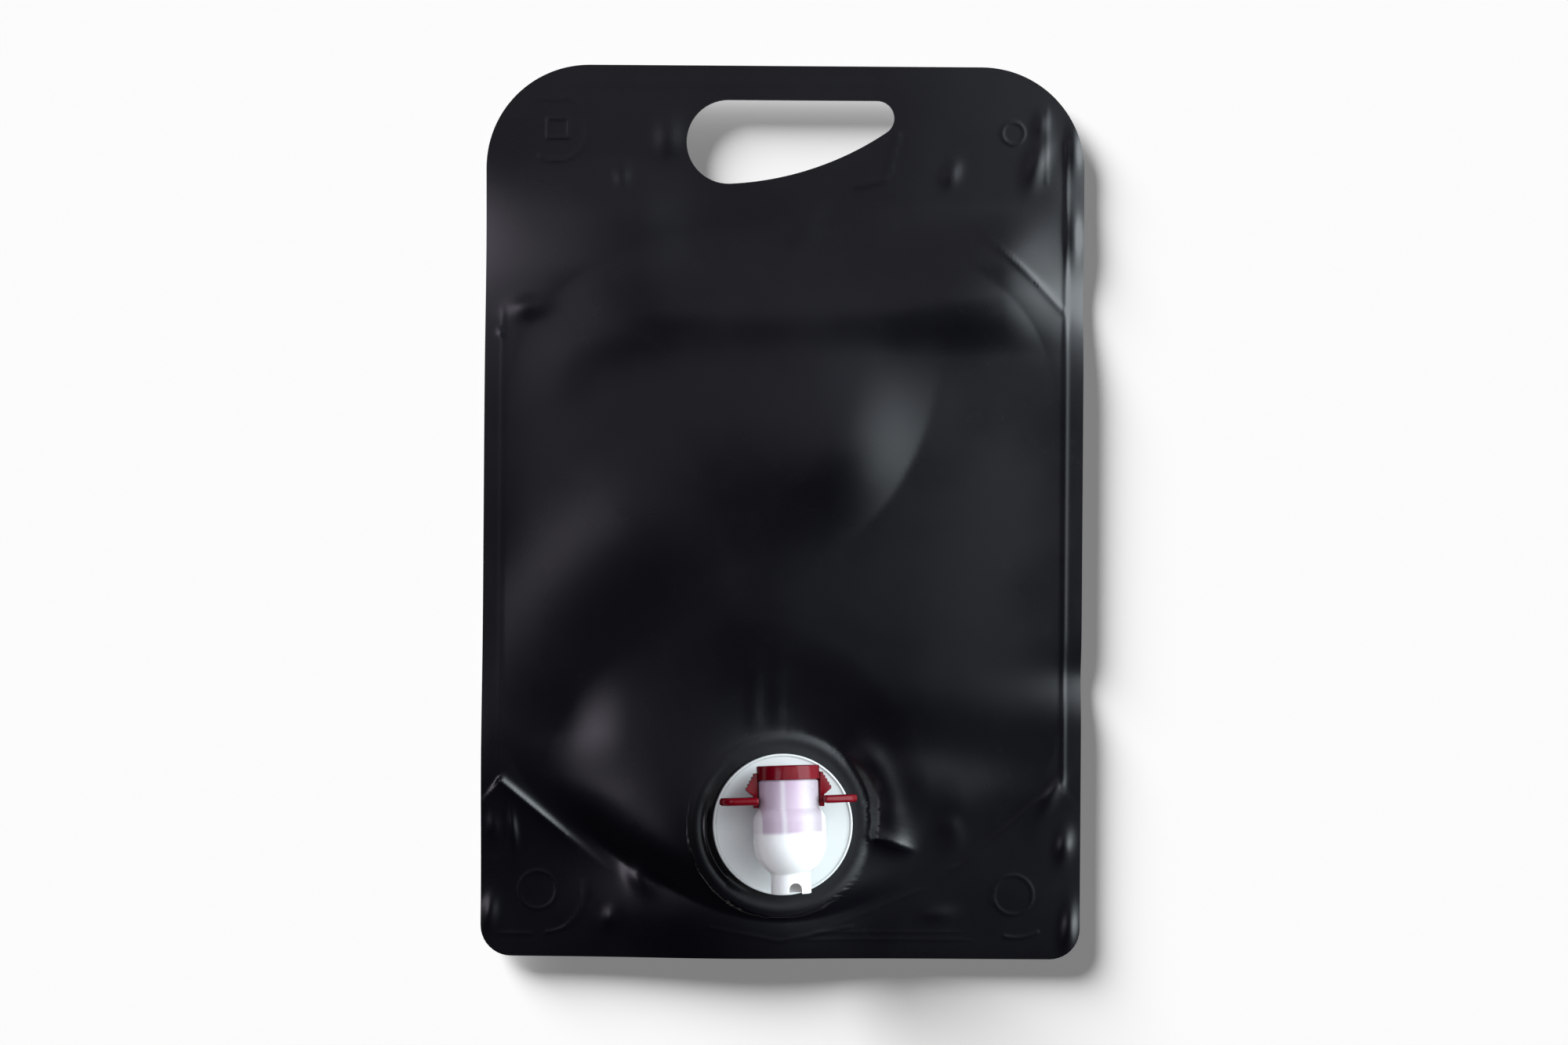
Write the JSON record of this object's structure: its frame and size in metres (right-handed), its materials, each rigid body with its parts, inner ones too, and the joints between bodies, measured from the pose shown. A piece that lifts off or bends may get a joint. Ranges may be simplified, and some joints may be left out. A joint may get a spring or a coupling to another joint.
{
  "type": "stand-up pouch",
  "caption": "Black laminated film drinks pouch with welded side seals, folded gussets, a die-cut carry handle and a white press tap with red finger wings, lying empty on its back.",
  "frame": {"origin": "under the middle of the pouch, on the surface that it lies on", "axes": "+X to the right of the front, +Y along the pouch towards the handle, +Z out of the front, away from the surface"},
  "size_m": [0.168, 0.25, 0.0365],
  "materials": {
    "black_film": "satin",
    "white_plastic": "satin",
    "milky_plastic": "satin",
    "red_plastic": "satin",
    "red_elastomer": "satin"
  },
  "bodies": {
    "pouch": {"film_bag": "black_film", "gland": "white_plastic", "tap_body": "milky_plastic", "wing_collar": "red_plastic", "diaphragm": "red_elastomer"},
    "valve": {"push_button": "red_elastomer", "valve_stem": "white_plastic", "valve_seal": "red_elastomer"}
  },
  "joints": [
    {"name": "button_press", "type": "slide", "parent": "pouch", "child": "valve", "axis": [0.0345, -0.996, 0.082], "range_m": [0, 0.0035], "stiffness_N_per_m": 1500, "springref_m": -0.001}
  ]
}
